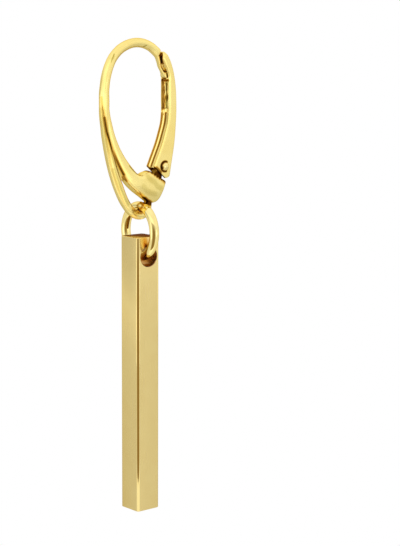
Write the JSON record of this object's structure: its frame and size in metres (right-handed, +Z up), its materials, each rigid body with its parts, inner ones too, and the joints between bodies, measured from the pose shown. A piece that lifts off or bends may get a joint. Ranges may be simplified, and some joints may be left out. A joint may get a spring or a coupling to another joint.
{
  "type": "lever-back bar drop earring",
  "caption": "Drop earring with a lever-back ear hook on a forked base, a jump ring and a long plain square bar that hangs free.",
  "frame": {"origin": "inner top of the hook's arch, where the ear lobe carries the earring", "axes": "+Z up along the bar, +X from the hook's front strip to its lever, Y across the hook along the rivet"},
  "size_m": [0.01, 0.0064, 0.0509],
  "materials": {
    "polished_gold": "polished yellow gold plate",
    "satin_gold": "gold plate with a fine upright brushed grain"
  },
  "bodies": {
    "hook": {"ear_hook": "polished_gold", "rivet": "polished_gold"},
    "lever": {"lever": "polished_gold"},
    "ring": {"jump_ring": "polished_gold"},
    "bar": {"bar": "satin_gold"}
  },
  "joints": [
    {"name": "lever_hinge", "type": "hinge", "parent": "hook", "child": "lever", "pos_m": [0.00323, 0, -0.01261], "axis": [0, 1, 0], "range_deg": [0, 75]},
    {"name": "ring_swing", "type": "hinge", "parent": "hook", "child": "ring", "pos_m": [0.00045, 0, -0.01675], "axis": [0, 1, 0], "range_deg": [-45, 45]},
    {"name": "bar_swing", "type": "hinge", "parent": "ring", "child": "bar", "pos_m": [0.00045, 0, -0.02211], "axis": [0, 1, 0], "range_deg": [-40, 40]}
  ]
}
